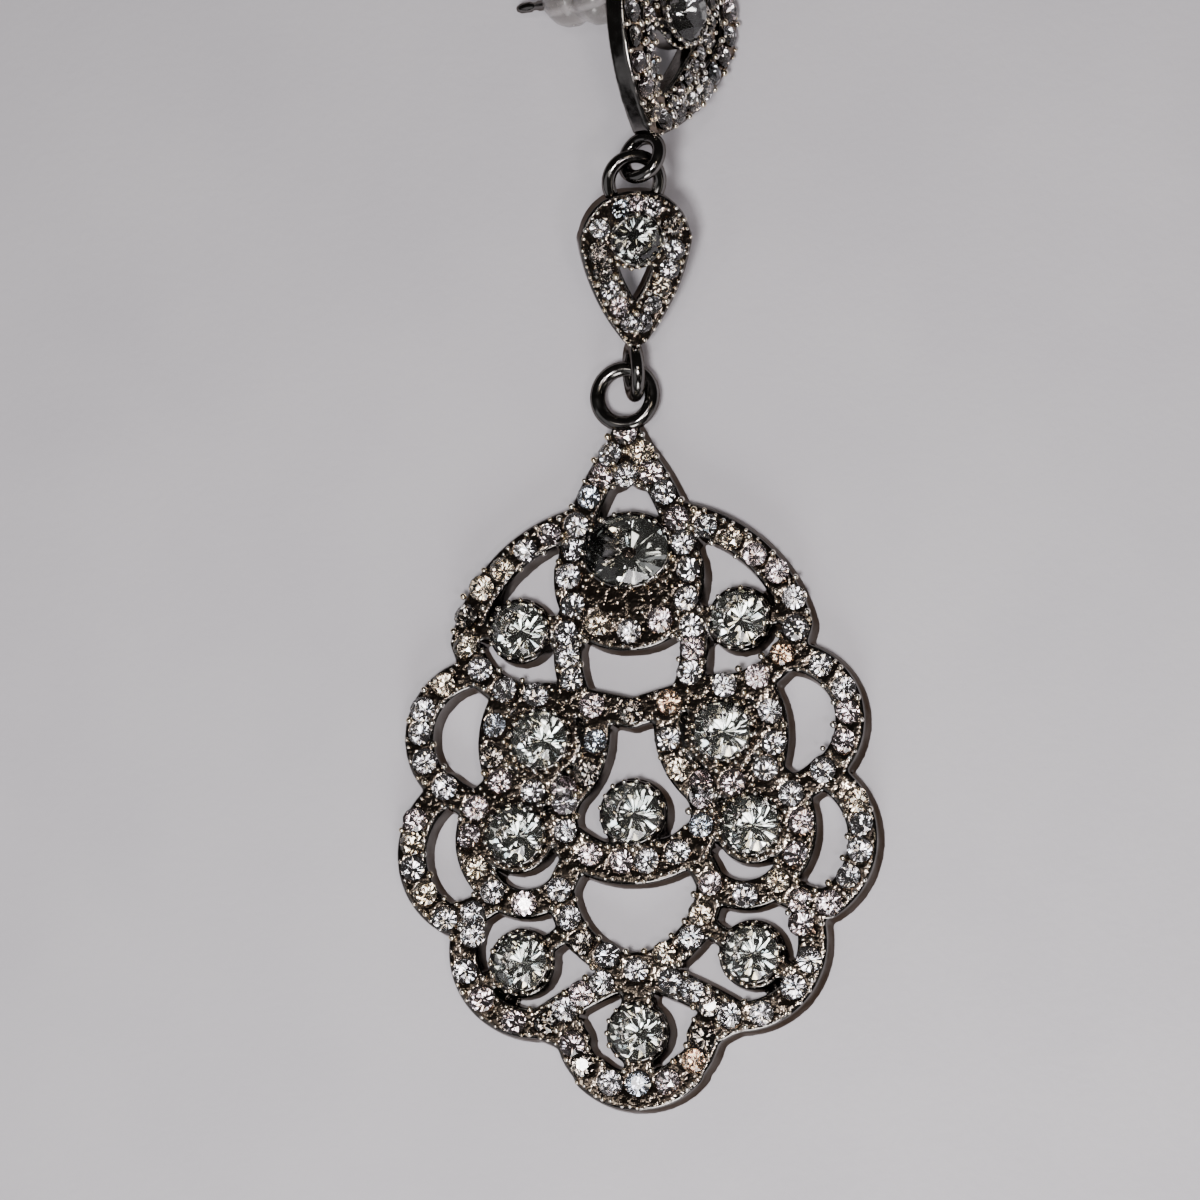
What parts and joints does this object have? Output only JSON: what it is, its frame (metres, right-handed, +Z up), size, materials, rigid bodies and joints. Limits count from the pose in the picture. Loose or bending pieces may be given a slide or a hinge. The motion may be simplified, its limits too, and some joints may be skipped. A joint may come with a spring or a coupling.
{
  "type": "chandelier earring",
  "caption": "Chandelier earring of plated openwork set with clear rhinestones: a scalloped drop, a small pear link and a pear stud with post and clutch, lying flat.",
  "frame": {"origin": "on the surface that the earring lies on, under the middle of its outline", "axes": "+Z up out of the surface, +Y from the drop's tip towards the stud, +X to the drop's right as seen from above"},
  "size_m": [0.0358, 0.086, 0.0136],
  "materials": {
    "plated_metal": "bright dark-silver plating over a casting",
    "crystal": "faceted clear glass with a foil back",
    "clear_plastic": "soft clear moulded plastic"
  },
  "bodies": {
    "root": {"drop_frame": "plated_metal", "drop_stone_oval": "crystal", "drop_stone_upper_left": "crystal", "drop_stone_upper_right": "crystal", "drop_stone_shoulder_left": "crystal", "drop_stone_shoulder_right": "crystal", "drop_stone_center": "crystal", "drop_stone_middle_left": "crystal", "drop_stone_middle_right": "crystal", "drop_stone_lower_left": "crystal", "drop_stone_lower_right": "crystal", "drop_stone_bottom": "crystal", "link_frame": "plated_metal", "link_stone": "crystal", "stud_frame": "plated_metal", "stud_stone": "crystal", "ear_clutch": "clear_plastic"}
  },
  "joints": []
}
